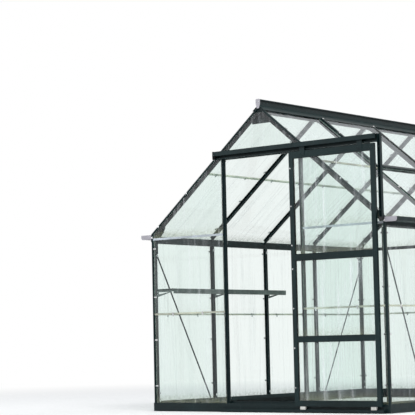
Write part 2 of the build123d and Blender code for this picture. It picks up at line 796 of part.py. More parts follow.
def save(name, solids):
    if not isinstance(solids, (list, tuple)):
        solids = [solids]
    parts = []
    for s in solids:
        parts += list(s.solids())
    shape = parts[0] if len(parts) == 1 else Compound(children=parts)
    shape.label = name
    export_step(shape, "parts/" + name + ".step")


# Fixed frame
save("base_sill_left", sill_side(-1))
save("base_sill_right", sill_side(1))
save("base_sill_front", sill_end(True))
save("base_sill_back", sill_end(False))
save("corner_posts", on_all_corners(corner_post()))
save("side_bars_left", [side_bar(-1, i) for i in range(1, bays_long)])
save("side_bars_right", [side_bar(1, i) for i in range(1, bays_long)])
save("eaves_gutter_left", eaves_beam(-1))
save("eaves_gutter_right", eaves_beam(1))
save("end_caps", on_all_corners(gutter_cap()) + [ridge_cap(), mirror(ridge_cap(), mid_mirror)]
     + [rain_spout(), mirror(rain_spout(), Plane.YZ)])
right_rafter = front_rafter()
save("front_rafters", [right_rafter, mirror(right_rafter, Plane.YZ)])
save("back_rafters", [mirror(right_rafter, mid_mirror), mirror(mirror(right_rafter, mid_mirror), Plane.YZ)])
save("ridge_bar", ridge_bar())
save("gusset_plates", on_all_corners(eaves_gusset()) + [apex_gusset(), mirror(apex_gusset(), mid_mirror)])
save("roof_bars_left", [roof_bar(-1, i) for i in range(1, bays_long)])
save("roof_bars_right", [roof_bar(1, i) for i in range(1, bays_long)])
save("door_posts", [gable_bar(-door_post_x, True), gable_bar(door_post_x, True)])
save("back_gable_posts", [gable_bar(-door_post_x, False), gable_bar(door_post_x, False)])
edge = door_post_x + bar_wide / 2
middle = back_cross_bar(-edge + bar_wide, edge - bar_wide)
save("back_cross_bars", [back_cross_bar(-post_inner, -edge), middle, back_cross_bar(edge, post_inner)])
save("door_head_bar", door_head())
save("door_header_track", header_track())
save("door_bottom_guide", bottom_guide())
save("header_support", header_support())
right_brace = brace(brace_foot_right)
left_brace = mirror(brace(brace_foot_left), Plane.YZ)
front_braces = [right_brace, left_brace]
save("wall_braces", front_braces + [mirror(b, mid_mirror) for b in front_braces])
save("front_glazing_strips", [glazing_strip(-post_inner, -edge), glazing_strip(edge, post_inner)])

# Glass
save("left_wall_glass", side_glass(-1))
save("right_wall_glass", side_glass(1))
front_low, front_top = gable_panes(True)
back_low, back_top = gable_panes(False)
save("front_gable_glass", front_low + front_top)
save("back_gable_glass", back_low + back_top)
left_low, left_up = roof_glass(-1)
right_low, right_up = roof_glass(1, skip=1)
save("roof_left_lower_glass", left_low)
save("roof_left_upper_glass", left_up)
save("roof_right_lower_glass", right_low)
save("roof_right_upper_glass", right_up)

# Roof vent
vent_y = y_front + bay * 1.5
vent_rails, vent_pane = vent_frame(vent_y)
save("roof_vent_frame", vent_rails)
save("roof_vent_glass", vent_pane)
save("roof_vent_sill", vent_sill(vent_y))
save("roof_vent_stay", vent_stay(vent_y))

# Shelf
save("shelf_slats", shelf_slat_set())
save("shelf_brackets", [shelf_bracket(y_front + bay * i) for i in (0, 1, 2)])

# Door
save("door_stiles", [stile(-1), stile(1)])
save("door_rails", door_rails())
save("door_glass", door_panes())
save("door_hangers", [hanger(-1), hanger(1)])
save("door_wheels", [wheel(-1), wheel(1)])
save("door_guide_shoes", [guide_shoe(-1), guide_shoe(1)])
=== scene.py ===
import bpy
import math
import random
from mathutils import Matrix, Vector


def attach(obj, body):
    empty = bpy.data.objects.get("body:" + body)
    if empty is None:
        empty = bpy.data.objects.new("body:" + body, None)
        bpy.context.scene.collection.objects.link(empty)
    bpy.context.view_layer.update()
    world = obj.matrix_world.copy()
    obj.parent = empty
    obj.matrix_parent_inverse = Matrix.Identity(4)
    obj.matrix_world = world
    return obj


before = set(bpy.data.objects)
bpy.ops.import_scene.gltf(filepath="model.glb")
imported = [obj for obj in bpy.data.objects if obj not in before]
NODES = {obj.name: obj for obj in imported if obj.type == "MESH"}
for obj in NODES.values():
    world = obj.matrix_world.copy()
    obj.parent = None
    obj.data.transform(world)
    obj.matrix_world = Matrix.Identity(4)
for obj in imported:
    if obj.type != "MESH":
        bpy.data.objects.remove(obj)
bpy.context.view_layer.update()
random.seed(7)
scene = bpy.context.scene

# Sizes and places are in metres. x runs across the gables, y along the ridge and z up. The door faces -y.
# The glazing plane of a wall or slope is the face that its panes lie on, and out is measured from it.

# Plan. HALF and POST are how far the lines of the corner posts and the door posts lie from the middle.
# MID is the middle of the long walls. The glazing planes lie PLANE_OUT outside the posts' lines.
HALF = 0.940
BAY = 0.620
BAYS = 4
POST = 0.317
MID = 0.0175
PLANE_OUT = 0.006

# Heights. The lower panes stand on the sill's ledge, and each upper pane laps over the one below it.
LEDGE = 0.052
LOW_PANE = 0.610
PANE_LAP = 0.012
EAVES = 1.165
RAFTER_FOOT = 1.196
RAFTER_APEX = 1.970
RIDGE_TOP = 2.029

# Glass and sections. INSET is how far a pane's edge lies from the bar's middle, and LEG is how far a post's
# flange reaches. A bar reaches BAR_IN inwards from the glazing plane, and its rib stands out by RIB.
GLASS = 0.003
INSET = 0.005
BAR_IN = 0.023
BAR_HALF = 0.012
RIB = 0.008
LEG = 0.017
RAFTER = 0.030
RIDGE_OVER = 0.018
RIDGE_CAP = 0.003

# Roof panes and the vent, measured down the slope from the apex line
ROOF_TOP = 0.025
ROOF_UP_PANE = 0.610
ROOF_OVER = 0.012
VENT_BAY = 1
VENT_TOP = 0.052
VENT_FOOT = 0.626
VENT_HALF = BAY / 2 + 0.006

# Door and its track. TRACK_DROP is how far the track's middle lies below the glazing line at the door post,
# and REBATE is how far a pane of the door goes into its rails.
TRACK_DROP = 0.03075
TRACK_OUT = 0.050
TRACK_SHORT = 0.012
TRACK_PAST = 0.0325
SUPPORT_HALF = 0.011
DOOR_LAP = 0.0105
DOOR_END_GAP = 0.019
DOOR_OUT = 0.027
DOOR_LOW = 0.040
DOOR_TOP = 1.655
DOOR_HALF_DEEP = 0.010
STILE = 0.032
TOP_RAIL = 0.043
MID_RAIL = 0.041
MID_RAIL_Z = 0.9785
LOW_RAIL = 0.036
LOW_RAIL_Z = 0.461
BOTTOM_RAIL = 0.035
REBATE = 0.004
WHEEL_X = 0.220

# Braces and shelf. BRACE_FEET has each wall's sign and how far its braces' feet stand from the corners.
BRACE_LONG = 1.150
BRACE_FEET = ((1, 0.440), (-1, 0.555))
SHELF_BARS = (0, 1, 2)
SHELF_Z = 0.815
SHELF_THICK = 0.010
SHELF_DEEP = 0.145
SHELF_LEFT = -0.919
SLATS = 4
SLAT_GAP = 0.006

# Gaps between a small part and the face that carries it
SEAT = 0.0002
HEAD_GAP = 0.0001

# Worked out from the values above
HALF_LENGTH = BAY * BAYS / 2
Y0 = MID - HALF_LENGTH
SIDE = HALF + PLANE_OUT
FRONT = Y0 - PLANE_OUT
BACK = MID + HALF_LENGTH + PLANE_OUT
GABLES = ((-1, FRONT), (1, BACK))
PITCH = math.atan((RAFTER_APEX - RAFTER_FOOT) / HALF)
SIN, COS, TAN = math.sin(PITCH), math.cos(PITCH), math.tan(PITCH)
APEX = RAFTER_APEX + PLANE_OUT / COS
POST_TOP = APEX - POST * TAN
LOW_PANE_TOP = LEDGE + LOW_PANE
UP_FOOT = LOW_PANE_TOP - PANE_LAP
TOP_FOOT = EAVES + 0.001
ROOF_UP_END = ROOF_TOP + ROOF_UP_PANE
ROOF_LOW_END = (SIDE + ROOF_OVER) / COS
DOOR_HALF = POST + DOOR_LAP
DOOR_Y = FRONT - DOOR_OUT
DOOR_FACE = DOOR_Y - DOOR_HALF_DEEP
TRACK = POST_TOP - TRACK_DROP
TRACK_LEFT = -(DOOR_HALF + TRACK_PAST)
TRACK_RIGHT = HALF - TRACK_SHORT
SUPPORT_X = TRACK_RIGHT + SUPPORT_HALF
DOOR_X = TRACK_RIGHT - DOOR_END_GAP - DOOR_HALF
RAIL_MIDS = (DOOR_TOP - TOP_RAIL / 2, MID_RAIL_Z, LOW_RAIL_Z, DOOR_LOW + BOTTOM_RAIL / 2)
DOOR_SPANS = ((MID_RAIL_Z + MID_RAIL / 2, DOOR_TOP - TOP_RAIL),
              (LOW_RAIL_Z + LOW_RAIL / 2, MID_RAIL_Z - MID_RAIL / 2),
              (DOOR_LOW + BOTTOM_RAIL, LOW_RAIL_Z - LOW_RAIL / 2))
SHELF_TOP = SHELF_Z + SHELF_THICK

# Directions
UP = Vector((0, 0, 1))
ACROSS = Vector((1, 0, 0))
ALONG = Vector((0, 1, 0))


def bar_y(i):
    """Place along the ridge of rafter or bar i, counted from the door's gable."""
    return Y0 + BAY * i


def slope(sign, s, out, y):
    """Point on a slope, s down from the apex line and out from the glazing plane.

    sign is 1 for the right slope and -1 for the left one.
    """
    return Vector((sign * (s * COS + out * SIN), y, APEX - s * SIN + out * COS))


def slope_out(sign):
    """Direction square out of a slope."""
    return Vector((sign * SIN, 0, COS))


def slope_up(sign):
    """Direction up a slope."""
    return Vector((-sign * COS, 0, SIN))


def is_vent(sign, i):
    """Whether bay i of a slope has the vent in place of its upper pane."""
    return sign > 0 and i == VENT_BAY


def is_doorway(foot, out, side):
    """Whether the doorway, which has no pane, is on this side of a wall's bar."""
    return out.y < 0 and side * foot.x < 0


def bar_spots():
    """Every upright bar of the walls: its foot, the direction across the panes and the direction out."""
    spots = []
    for sign in (-1, 1):
        for i in range(1, BAYS):
            spots.append((Vector((sign * SIDE, bar_y(i), 0)), ALONG, ACROSS * sign))
    for x in (-POST, POST):
        for end, wall in GABLES:
            spots.append((Vector((x, wall, 0)), ACROSS, ALONG * end))
    return spots


def lap_spots():
    """Every lap in the long walls and the roof: its middle, the ways up the panes and out, and on_roof."""
    spots = []
    for sign in (-1, 1):
        for i in range(BAYS):
            y = bar_y(i + 0.5)
            spots.append((Vector((sign * SIDE, y, UP_FOOT)), UP, ACROSS * sign, False))
            if not is_vent(sign, i):
                spots.append((slope(sign, ROOF_UP_END, 0, y), slope_up(sign), slope_out(sign), True))
    return spots


# Camera

def set_camera():
    """The photograph's viewing angle, from a fit of its straight lines. The angles are in radians."""
    yaw, pitch, roll = -0.68956, 0.08275, -0.02209
    place = (6.56837, -9.74618, 0.43596)
    focal_px = 1661.7
    photo_px = 415
    sensor_mm = 36.0
    level = Vector((math.sin(yaw), math.cos(yaw), 0.0))
    forward = level * math.cos(pitch) + UP * math.sin(pitch)
    side = Vector((math.cos(yaw), -math.sin(yaw), 0.0))
    up = side.cross(forward)
    right = side * math.cos(roll) + up * math.sin(roll)
    top = up * math.cos(roll) - side * math.sin(roll)
    cam = bpy.data.cameras.new("camera")
    cam.sensor_width = sensor_mm
    cam.sensor_fit = "HORIZONTAL"
    cam.lens = focal_px / photo_px * sensor_mm
    obj = bpy.data.objects.new("camera", cam)
    scene.collection.objects.link(obj)
    turn = Matrix((right, top, -forward)).transposed().to_4x4()
    obj.matrix_world = Matrix.Translation(place) @ turn
    scene.camera = obj


# Materials

class Graph:
    """Short ways to add and join the nodes of one material."""

    def __init__(self, name):
        self.material = bpy.data.materials.new(name)
        self.material.use_nodes = True
        self.tree = self.material.node_tree
        self.tree.nodes.clear()
        self.surface = self.tree.nodes.new("ShaderNodeOutputMaterial").inputs["Surface"]
        self.where = self.tree.nodes.new("ShaderNodeTexCoord").outputs["Object"]
        geometry = self.tree.nodes.new("ShaderNodeNewGeometry").outputs
        self.normal = geometry["True Normal"]
        self.behind = geometry["Backfacing"]

    def put(self, socket, value):
        """Joins a node's output to the socket, or writes a number or colour there."""
        if isinstance(value, bpy.types.NodeSocket):
            self.tree.links.new(value, socket)
        elif isinstance(value, (tuple, list)) and socket.type == "RGBA" and len(value) == 3:
            socket.default_value = (*value, 1.0)
        else:
            socket.default_value = value

    def math(self, kind, a, b=0.0, clamp=False):
        node = self.tree.nodes.new("ShaderNodeMath")
        node.operation = kind
        node.use_clamp = clamp
        self.put(node.inputs[0], a)
        self.put(node.inputs[1], b)
        return node.outputs[0]

    def plus(self, a, b, clamp=False):
        return self.math("ADD", a, b, clamp)

    def times(self, a, b):
        return self.math("MULTIPLY", a, b)

    def lifted(self, value, least):
        """Squeezes a value that goes from 0 to 1, so that it goes from least to 1."""
        return self.plus(self.times(value, 1.0 - least), least)

    def along(self, direction, vector=None):
        """How far the shaded point, or another vector, reaches along a direction."""
        node = self.tree.nodes.new("ShaderNodeVectorMath")
        node.operation = "DOT_PRODUCT"
        self.put(node.inputs[0], vector or self.where)
        node.inputs[1].default_value = direction
        return node.outputs["Value"]

    def stretched(self, scale):
        node = self.tree.nodes.new("ShaderNodeMapping")
        self.put(node.inputs["Vector"], self.where)
        node.inputs["Scale"].default_value = scale
        return node.outputs[0]

    def joined(self, x, y, z):
        node = self.tree.nodes.new("ShaderNodeCombineXYZ")
        for socket, value in zip(node.inputs, (x, y, z)):
            self.put(socket, value)
        return node.outputs[0]

    def noise(self, scale, detail=3.0, rough=0.5, where=None):
        node = self.tree.nodes.new("ShaderNodeTexNoise")
        self.put(node.inputs["Vector"], where or self.where)
        node.inputs["Scale"].default_value = scale
        node.inputs["Detail"].default_value = detail
        node.inputs["Roughness"].default_value = rough
        return node.outputs[0]

    def spread(self, value, low, high, to_low=0.0, to_high=1.0):
        """A smooth step from to_low, where the value is low, to to_high, where it is high."""
        node = self.tree.nodes.new("ShaderNodeMapRange")
        node.interpolation_type = "SMOOTHSTEP"
        for socket, v in zip(node.inputs, (value, low, high, to_low, to_high)):
            self.put(socket, v)
        return node.outputs[0]

    def color(self, factor, a, b):
        node = self.tree.nodes.new("ShaderNodeMix")
        node.data_type = "RGBA"
        color_a, color_b, color_out = 6, 7, 2
        self.put(node.inputs[0], factor)
        self.put(node.inputs[color_a], a)
        self.put(node.inputs[color_b], b)
        return node.outputs[color_out]

    def bump(self, height, distance, strength=1.0, under=None):
        node = self.tree.nodes.new("ShaderNodeBump")
        self.put(node.inputs["Height"], height)
        node.inputs["Distance"].default_value = distance
        node.inputs["Strength"].default_value = strength
        if under is not None:
            self.put(node.inputs["Normal"], under)
        return node.outputs[0]

    def shader(self, kind, **values):
        node = self.tree.nodes.new(kind)
        for key, value in values.items():
            self.put(node.inputs[key.replace("_", " ")], value)
        return node.outputs[0]

    def blend(self, factor, a, b):
        node = self.tree.nodes.new("ShaderNodeMixShader")
        self.put(node.inputs[0], factor)
        self.put(node.inputs[1], a)
        self.put(node.inputs[2], b)
        return node.outputs[0]

    def end(self, surface):
        self.tree.links.new(surface, self.surface)
        return self.material


def weathered(name, base, pale, rough, metal=0.0, dust=0.35, grain=0.00002, grain_scale=600.0, stain=0.5,
              level=0.35, milky=0.0):
    """A solid surface with cloudy wear, dust on its upper faces, grime, runs and a fine grain.

    pale is the colour of the dust and the runs, and stain is how strong the runs are.
    grain is the height of the finest bumps, and milky is the share of light that passes through.
    """
    worn_shade = 0.68
    run_strength = 0.22 * stain
    least_dust = 0.3
    dust_dulls = 0.35
    g = Graph(name)
    clouds = g.noise(5.0, detail=4.0, rough=0.6)
    grime = g.noise(42.0, detail=6.0, rough=0.65)
    runs = g.noise(1.0, detail=5.0, rough=0.6, where=g.stretched((55.0, 55.0, 4.0)))
    up = g.spread(g.along((0.0, 0.0, 1.0), g.normal), low=0.25, high=0.95)
    patchy = g.spread(grime, low=0.38, high=0.62)
    dusty = g.times(g.times(up, g.lifted(patchy, least_dust)), dust)
    worn = g.color(g.spread(clouds, low=0.35, high=0.7), base, tuple(worn_shade * v for v in base))
    marks = g.times(g.spread(runs, low=0.55, high=0.75), run_strength)
    shade = g.color(g.plus(dusty, marks, clamp=True), worn, pale)
    fine = g.bump(g.noise(grain_scale, detail=2.0), distance=grain, strength=0.35)
    relief = g.bump(grime, distance=0.0002, strength=0.25, under=fine)
    gloss = g.spread(grime, low=0.3, high=0.7, to_low=rough - 0.07, to_high=rough + 0.12)
    gloss = g.plus(gloss, g.times(dusty, dust_dulls), clamp=True)
    body = g.shader("ShaderNodeBsdfPrincipled", Base_Color=shade, Metallic=metal, Roughness=gloss,
                    Normal=relief, Specular_IOR_Level=level)
    if milky:
        body = g.blend(milky, body, g.shader("ShaderNodeBsdfTranslucent", Color=shade))
    return g.end(body)


def glass_gloss(g):
    """How much of the light a pane reflects: little from the front, and nearly all at a flat angle."""
    head_on, at_flat_angle = 0.04, 0.9
    layer = g.tree.nodes.new("ShaderNodeLayerWeight")
    layer.inputs["Blend"].default_value = 0.5
    away = g.math("POWER", layer.outputs["Facing"], 5.0)
    return g.plus(g.times(away, at_flat_angle), head_on, clamp=True)


def glass_film(g, u, v, smear):
    """How strong the streaks, wide smears and specks are, at u across and v down the panes."""
    streaks = g.noise(1.0, detail=6.0, rough=0.62, where=g.joined(g.times(u, 38.0), g.times(v, 1.6), 0.3))
    wide = g.noise(1.0, detail=4.0, rough=0.55, where=g.joined(g.times(u, 9.0), g.times(v, 0.9), 4.0))
    specks = g.noise(260.0, detail=3.0, rough=0.6)
    film = g.plus(g.spread(streaks, low=0.50, high=0.72, to_high=0.21 * smear),
                  g.spread(wide, low=0.50, high=0.75, to_low=0.008, to_high=0.12 * smear))
    return g.plus(film, g.spread(specks, low=0.66, high=0.74, to_high=0.16))


def glass_rim(g, u, v, lines, bars, uneven):
    """How much dirt gathers above the panes' lower edges and beside the bars, from 0 to 1."""
    above, below = 0.075, 0.004
    beside, at_bar = 0.034, 0.18
    bays_off = 10
    rim = 0.0
    for line, dirty in lines.items():
        gap = g.math("SUBTRACT", line, v)
        fades_up = g.spread(gap, low=0.0, high=above, to_low=dirty, to_high=0.0)
        near = g.times(fades_up, g.spread(gap, low=-below, high=0.0))
        rim = g.math("MAXIMUM", rim, near)
    gaps = []
    if bars:
        # Ten bays less than the first bar's place, so that no distance is below zero
        phase, spacing = bars
        past = g.math("SUBTRACT", u, phase - bays_off * spacing)
        gaps.append(g.math("PINGPONG", past, spacing / 2))
    for x in uneven:
        gaps.append(g.math("ABSOLUTE", g.math("SUBTRACT", u, x)))
    for gap in gaps:
        rim = g.math("MAXIMUM", rim, g.spread(gap, low=BAR_HALF, high=beside, to_low=at_bar, to_high=0.0))
    return rim


def clear_glass(name, out, across, down, lines, bars=None, uneven=(), smear=1.0):
    """Thin clear glass. Its cut edges are green, and dirt gathers at bars and laps and runs down the pane.

    out points out of the greenhouse: the face on that side has the dirt and the reflection.
    lines maps distances along down, where a pane's lower edge lies, to how much dirt gathers there.
    bars is (phase, spacing) along across, and uneven lists bars that stand at no even spacing.
    smear is how strong the streaks are, next to the other panes.
    """
    algae_strength, least_algae = 0.44, 0.2
    film_shade, algae_shade = (0.74, 0.78, 0.80), (0.28, 0.31, 0.19)
    g = Graph(name)
    u = g.along(across)
    v = g.along(down)
    facing = g.along(out, g.normal)
    # The normal turns to the side that is looked from, and Backfacing undoes that.
    outside = g.math("ABSOLUTE", g.math("SUBTRACT", g.math("GREATER_THAN", facing, 0.0), g.behind))
    film = glass_film(g, u, v, smear)
    rim = glass_rim(g, u, v, lines, bars, uneven)
    patchy = g.spread(g.noise(55.0, detail=6.0, rough=0.7), low=0.36, high=0.64)
    algae = g.times(g.times(rim, g.lifted(patchy, least_algae)), algae_strength)
    all_dirt = g.plus(algae, film)
    algae_share = g.math("DIVIDE", algae, g.plus(all_dirt, 0.001), clamp=True)
    dirt = g.shader("ShaderNodeBsdfDiffuse", Color=g.color(algae_share, film_shade, algae_shade))
    ripple = g.bump(g.noise(7.0, detail=1.0), distance=0.0012, strength=0.35)
    through = g.shader("ShaderNodeBsdfTransparent", Color=(0.940, 0.968, 0.957))
    mirror = g.shader("ShaderNodeBsdfGlossy", Color=(0.93, 0.97, 1.0), Roughness=0.03, Normal=ripple)
    sheet = g.blend(g.times(glass_gloss(g), outside), through, mirror)
    sheet = g.blend(g.times(g.plus(algae, film, clamp=True), outside), sheet, dirt)
    cut = g.shader("ShaderNodeBsdfPrincipled", Base_Color=(0.40, 0.58, 0.50), Roughness=0.18, Alpha=0.80)
    edge = g.spread(g.math("ABSOLUTE", facing), low=0.55, high=0.75, to_low=1.0, to_high=0.0)
    return g.end(g.blend(edge, sheet, cut))


def solid_materials():
    """The paints, plastics, metals and rubbers, under the names that the pieces use."""
    paint = {"pale": (0.09, 0.125, 0.12), "dust": 0.17, "stain": 0.4, "level": 0.20}
    return {
        "frame": weathered("frame_paint", base=(0.0050, 0.0155, 0.0170), rough=0.38, **paint),
        "door": weathered("door_paint", base=(0.0060, 0.0180, 0.0195), rough=0.36, **paint),
        "cap": weathered("cap_plastic", base=(0.385, 0.375, 0.41), pale=(0.24, 0.24, 0.22), rough=0.48,
                         dust=0.30, stain=0.8),
        "strip": weathered("strip_plastic", base=(0.70, 0.76, 0.81), pale=(0.42, 0.44, 0.41), rough=0.25,
                           dust=0.25, stain=0.7, milky=0.4),
        "lap": weathered("lap_strip", base=(0.89, 0.89, 0.81), pale=(0.63, 0.63, 0.54), rough=0.3,
                         dust=0.25, milky=0.75),
        "nylon": weathered("nylon", base=(0.66, 0.66, 0.62), pale=(0.30, 0.29, 0.26), rough=0.42),
        "shelf": weathered("shelf_coat", base=(0.075, 0.100, 0.092), pale=(0.28, 0.30, 0.27), rough=0.5,
                           dust=0.6, stain=1.0),
        "steel": weathered("zinc_steel", base=(0.62, 0.63, 0.64), pale=(0.40, 0.38, 0.34), rough=0.24,
                           metal=1.0, dust=0.3, grain=0.00001, stain=0.6),
        "spring": weathered("spring_steel", base=(0.72, 0.73, 0.74), pale=(0.45, 0.42, 0.36), rough=0.20,
                            metal=1.0, dust=0.2, grain=0.00001),
        "rubber": weathered("seal_rubber", base=(0.012, 0.012, 0.012), pale=(0.12, 0.13, 0.11), rough=0.55),
        "tape": weathered("bedding_tape", base=(0.010, 0.011, 0.012), pale=(0.05, 0.05, 0.05), rough=0.6,
                          dust=0.0, stain=0.0, level=0.2),
        "brush": weathered("brush_pile", base=(0.020, 0.021, 0.022), pale=(0.10, 0.10, 0.09), rough=0.85,
                           dust=0.3, grain=0.0006, grain_scale=1400.0, level=0.1),
    }


def glass_materials():
    """A glass for each wall, each slope and the door, because each has its own bars, laps and way down."""
    at_foot, at_lap, at_eaves = 1.0, 0.14, 0.8
    roof_foot, roof_lap = 0.9, 0.1
    door_dirt = (0.7, 0.7, 0.9)
    stile_edge = DOOR_HALF - 0.02
    walls = {-LEDGE: at_foot, -UP_FOOT: at_lap}
    gables = {**walls, -TOP_FOOT: at_eaves}
    door = {REBATE - low: dirty for (low, high), dirty in zip(DOOR_SPANS, door_dirt)}
    made = {}
    for name, out in (("glass_wall_left", -ACROSS), ("glass_wall_right", ACROSS)):
        made[name] = clear_glass(name, out, ALONG, -UP, walls, bars=(Y0, BAY))
    for name, out in (("glass_front", -ALONG), ("glass_back", ALONG)):
        made[name] = clear_glass(name, out, ACROSS, -UP, gables, uneven=(-HALF, -POST, POST, HALF))
    made["glass_door"] = clear_glass("glass_door", -ALONG, ACROSS, -UP, door, smear=1.9,
                                     uneven=(DOOR_X - stile_edge, DOOR_X + stile_edge))
    start = -APEX * SIN
    slopes = {start + ROOF_UP_END: roof_lap, start + ROOF_LOW_END: roof_foot}
    for name, sign in (("glass_roof_right", 1), ("glass_roof_left", -1)):
        made[name] = clear_glass(name, slope_out(sign), ALONG, -slope_up(sign), slopes, bars=(Y0, BAY))
    return made


NODE_MATERIALS = {
    "end_caps": "cap",
    "front_glazing_strips": "strip",
    "door_wheels": "nylon",
    "door_guide_shoes": "nylon",
    "shelf_slats": "shelf",
    "shelf_brackets": "shelf",
    "door_stiles": "door",
    "door_rails": "door",
}


def node_material(name):
    """The material of a CAD node, found by the node's name."""
    if not name.endswith("_glass"):
        return NODE_MATERIALS.get(name, "frame")
    side = name.split("_")[0]
    if side == "door":
        return "glass_door"
    if "gable" in name:
        return "glass_" + side
    if "wall" in name:
        return "glass_wall_" + side
    return "glass_roof_left" if "left" in name else "glass_roof_right"


# Mesh code

DOME = [(0.0, 0.0075), (0.0010, 0.0074), (0.0026, 0.0060), (0.0036, 0.0036), (0.0040, 0.0012)]
DOME_SIDES = 14
SHARP_FROM = math.radians(35.0)


class Build:
    """Collects the faces of one piece."""

    def __init__(self):
        self.verts = []
        self.faces = []

    def ring(self, points):
        first = len(self.verts)
        self.verts += [tuple(p) for p in points]
        return list(range(first, first + len(points)))

    def bridge(self, a, b):
        n = len(a)
        for i in range(n):
            self.faces.append((a[i], a[(i + 1) % n], b[(i + 1) % n], b[i]))

    def loft(self, rings):
        """A closed body through the rings, with its faces turned outwards."""
        first = len(self.faces)
        ids = [self.ring(r) for r in rings]
        for a, b in zip(ids, ids[1:]):
            self.bridge(a, b)
        self.faces.append(tuple(reversed(ids[0])))
        self.faces.append(tuple(ids[-1]))
        origin = Vector(self.verts[ids[0][0]])
        volume = 0.0
        for face in self.faces[first:]:
            a, *rest = [Vector(self.verts[i]) - origin for i in face]
            volume += sum(a.dot(p.cross(q)) for p, q in zip(rest, rest[1:]))
        if volume < 0.0:
            self.faces[first:] = [tuple(reversed(face)) for face in self.faces[first:]]

    def prism(self, flat, ends):
        """The same outline of points at each of the ends, joined to one body."""
        self.loft([[end + p for p in flat] for end in ends])

    def run(self, section, start, end, out):
        """A section of (x, y) points from start to end, its y axis pointing out."""
        start, end = Vector(start), Vector(end)
        z = (end - start).normalized()
        y = Vector(out) - z * Vector(out).dot(z)
        y.normalize()
        x = y.cross(z)
        self.prism([x * px + y * py for px, py in section], (start, end))

    def turned(self, at, axis, profile, sides, spin=0.0):
        """A turned body: profile is a list of (height along axis, radius)."""
        axis = Vector(axis).normalized()
        side = axis.orthogonal().normalized()
        other = axis.cross(side)
        at = Vector(at)
        rings = []
        for h, r in profile:
            ring = []
            for i in range(sides):
                a = 2 * math.pi * i / sides + spin
                ring.append(at + axis * h + (side * math.cos(a) + other * math.sin(a)) * r)
            rings.append(ring)
        self.loft(rings)

    def bolt(self, at, axis, size=0.010):
        """Hexagon nut with a domed thread end, seated on a washer. size is the nut's rough width."""
        spin = random.random()
        washer = [(0.0, size * 0.95), (0.0012, size * 0.95), (0.0013, size * 0.90)]
        nut = [(0.0012, size * 0.52), (0.0018, size * 0.57), (0.0052, size * 0.57), (0.0060, size * 0.50)]
        thread = [(0.0058, size * 0.30), (0.0085, size * 0.30), (0.0093, size * 0.22)]
        self.turned(at, axis, washer, sides=16)
        self.turned(at, axis, nut, sides=6, spin=spin)
        self.turned(at, axis, thread, sides=10)

    def pan_head(self, at, axis, radius=0.0042):
        """Head of a pan head screw, hollow in the middle where its drive is."""
        head = [(0.0, radius * 1.02), (0.0008, radius), (0.0020, radius * 0.82), (0.0026, radius * 0.45),
                (0.0026, radius * 0.34), (0.0016, radius * 0.20)]
        self.turned(at, axis, head, sides=14)

    def dome(self, at, axis):
        """Domed head of a large bolt."""
        self.turned(at, axis, DOME, DOME_SIDES)


def piece(name, build, material, body="frame"):
    """One object of the faces in build, which rides on a body."""
    mesh = bpy.data.meshes.new(name)
    mesh.from_pydata(build.verts, [], build.faces)
    mesh.validate()
    obj = bpy.data.objects.new(name, mesh)
    scene.collection.objects.link(obj)
    mesh.materials.append(MAT[material])
    mesh.shade_smooth()
    mesh.set_sharp_from_angle(angle=SHARP_FROM)
    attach(obj, body)


def box_section(x0, x1, y0, y1, cut=0.0):
    """The corners of a rectangle, cut off at 45 degrees if cut isn't 0."""
    if cut == 0.0:
        return [(x0, y0), (x1, y0), (x1, y1), (x0, y1)]
    return [(x0 + cut, y0), (x1 - cut, y0), (x1, y0 + cut), (x1, y1 - cut),
            (x1 - cut, y1), (x0 + cut, y1), (x0, y1 - cut), (x0, y0 + cut)]


# Clips and strips. The first two are places up the walls and down the slopes, the others along the laps.

CLIP_HEIGHTS = (0.17, 0.48, 0.77, 1.10)
CLIP_SLOPES = (0.255, 0.560, 0.852, 1.140)
LAP_CLIP_OFF = (-0.17, 0.15)
LAP_CLIP_X = (-0.772, -0.514, 0.413, 0.732)


def folded_strip(b, path, widths, thick, at, across, out, along):
    """A thin strip bent along a path of (across, out) points; widths and thick are half measures."""
    rings = []
    for i, (x, z) in enumerate(path):
        x0, z0 = path[max(i - 1, 0)]
        x1, z1 = path[min(i + 1, len(path) - 1)]
        long = math.hypot(x1 - x0, z1 - z0)
        nx, nz = -(z1 - z0) / long * thick, (x1 - x0) / long * thick
        wide = widths[i]
        rings.append([at + across * (x + s * nx) + out * (z + s * nz) + along * d
                      for s, d in ((-1, -wide), (-1, wide), (1, wide), (1, -wide))])
    b.loft(rings)


def spring_clip(b, at, across, along, out, one_side=0, broad=1.0, arch=0.0002):
    """Band clip of spring steel: it hooks over the bar's rib and its pads press on the pane at each side.

    one_side is -1 or 1 where a corner leaves room for one pad only.
    broad widens the band, and arch is how far it stands off the rib.
    """
    thick = 0.0003
    half = 0.021
    pad_long = 0.008
    pad_half_wide, band_half_wide = 0.0050, 0.0038
    pad = GLASS + SEAT + thick
    crest = RIB + thick + arch
    arm = [(-half - 0.003, pad + 0.0028), (-half, pad), (-half + 0.006, pad), (-half + 0.010, pad + 0.0018),
           (-0.0065, crest - 0.0010), (-0.0030, crest)]
    if one_side:
        path = [(one_side * -x, z) for x, z in arm]
    else:
        path = arm + [(-x, z) for x, z in reversed(arm)]
    widths = [broad * (pad_half_wide if abs(x) > half - pad_long else band_half_wide) for x, z in path]
    folded_strip(b, path, widths, thick, at, across, out, along)


